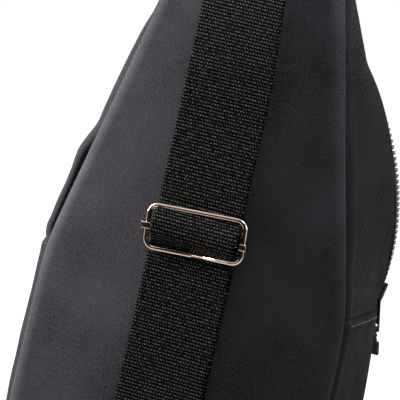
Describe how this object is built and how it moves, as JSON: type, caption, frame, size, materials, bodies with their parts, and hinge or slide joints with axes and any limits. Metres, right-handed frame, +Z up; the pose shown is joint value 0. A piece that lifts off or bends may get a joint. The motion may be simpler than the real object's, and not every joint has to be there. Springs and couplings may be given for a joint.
{
  "type": "sling bag",
  "caption": "Teardrop sling bag with a padded back, webbing strap with sliding wire buckle and ring, and an arched zip that opens a hinged front flap.",
  "frame": {"origin": "middle of the flat base, on the surface it stands on", "axes": "+Z up, -Y the padded back that lies against the wearer, +Y the zipped front, +X to the right seen from the back"},
  "size_m": [0.1374, 0.1097, 0.3746],
  "materials": {
    "body_fabric": "fine twill nylon, matt",
    "back_fabric": "diagonal twill over foam, matt",
    "foam": "closed-cell foam",
    "lining": "plain lining",
    "board": "polyethylene sheet",
    "zip_tape": "woven tape, matt",
    "zip_teeth": "moulded acetal, satin",
    "webbing": "ribbed webbing",
    "slider_metal": "black lacquer, satin",
    "cord": "knotted cord",
    "rose_gold": "polished plated wire"
  },
  "bodies": {
    "bag": {"gusset_lower": "body_fabric", "gusset_upper": "body_fabric", "back_panel": "back_fabric", "back_foam": "foam", "back_lining": "lining", "base_board": "board", "front_lower_panel": "body_fabric", "front_upper_panel": "body_fabric", "zip_tape_outer": "zip_tape", "zip_tape_ends": "zip_tape", "zip_teeth_outer": "zip_teeth", "zip_teeth_ends": "zip_teeth", "zip_stops": "zip_teeth", "strap_run": "webbing", "strap_return": "webbing", "strap_upper": "webbing", "top_anchor_patch": "webbing", "anchor_tab": "webbing"},
    "flap": {"flap_panel": "body_fabric", "zip_tape_inner": "zip_tape", "zip_teeth_inner": "zip_teeth"},
    "zip_slider": {"zip_slider": "slider_metal"},
    "zip_pull": {"pull_plate": "slider_metal"},
    "pull_grip": {"pull_grip": "cord"},
    "strap_buckle": {"buckle_frame": "rose_gold"},
    "buckle_bar": {"buckle_bar": "rose_gold"},
    "strap_ring": {"strap_ring": "rose_gold"}
  },
  "joints": [
    {"name": "flap_open", "type": "hinge", "parent": "bag", "child": "flap", "pos_m": [0, 0.03702, 0.11815], "axis": [-1, 0, 0], "range_deg": [0, 70], "deforming": ["zip_teeth_outer", "zip_teeth_inner", "zip_teeth_ends"]},
    {"name": "zip_travel", "type": "hinge", "parent": "bag", "child": "zip_slider", "pos_m": [-0.0528, 0.02838, 0.135], "axis": [0, -0.9432, -0.3322], "range_deg": [0, 43], "deforming": ["zip_teeth_outer", "zip_teeth_inner", "zip_teeth_ends"]},
    {"name": "pull_swing", "type": "hinge", "parent": "zip_slider", "child": "zip_pull", "pos_m": [0.0617, 0.04102, 0.11055], "axis": [1, 0, 0], "range_deg": [0, 100]},
    {"name": "grip_swing", "type": "hinge", "parent": "zip_pull", "child": "pull_grip", "pos_m": [0.0617, 0.04799, 0.09075], "axis": [1, 0, 0], "range_deg": [0, 60]},
    {"name": "buckle_travel", "type": "slide", "parent": "bag", "child": "strap_buckle", "axis": [0, 0, 1], "range_m": [-0.05, 0.05], "deforming": ["strap_run", "strap_return"]},
    {"name": "bar_shift", "type": "slide", "parent": "strap_buckle", "child": "buckle_bar", "axis": [0, 0, 1], "range_m": [-0.003, 0.003], "deforming": ["strap_run", "strap_return"]},
    {"name": "ring_swing", "type": "hinge", "parent": "bag", "child": "strap_ring", "pos_m": [0, -0.0345, 0.0231], "axis": [1, 0, 0], "range_deg": [0, 40], "deforming": ["strap_run", "strap_return"]}
  ]
}
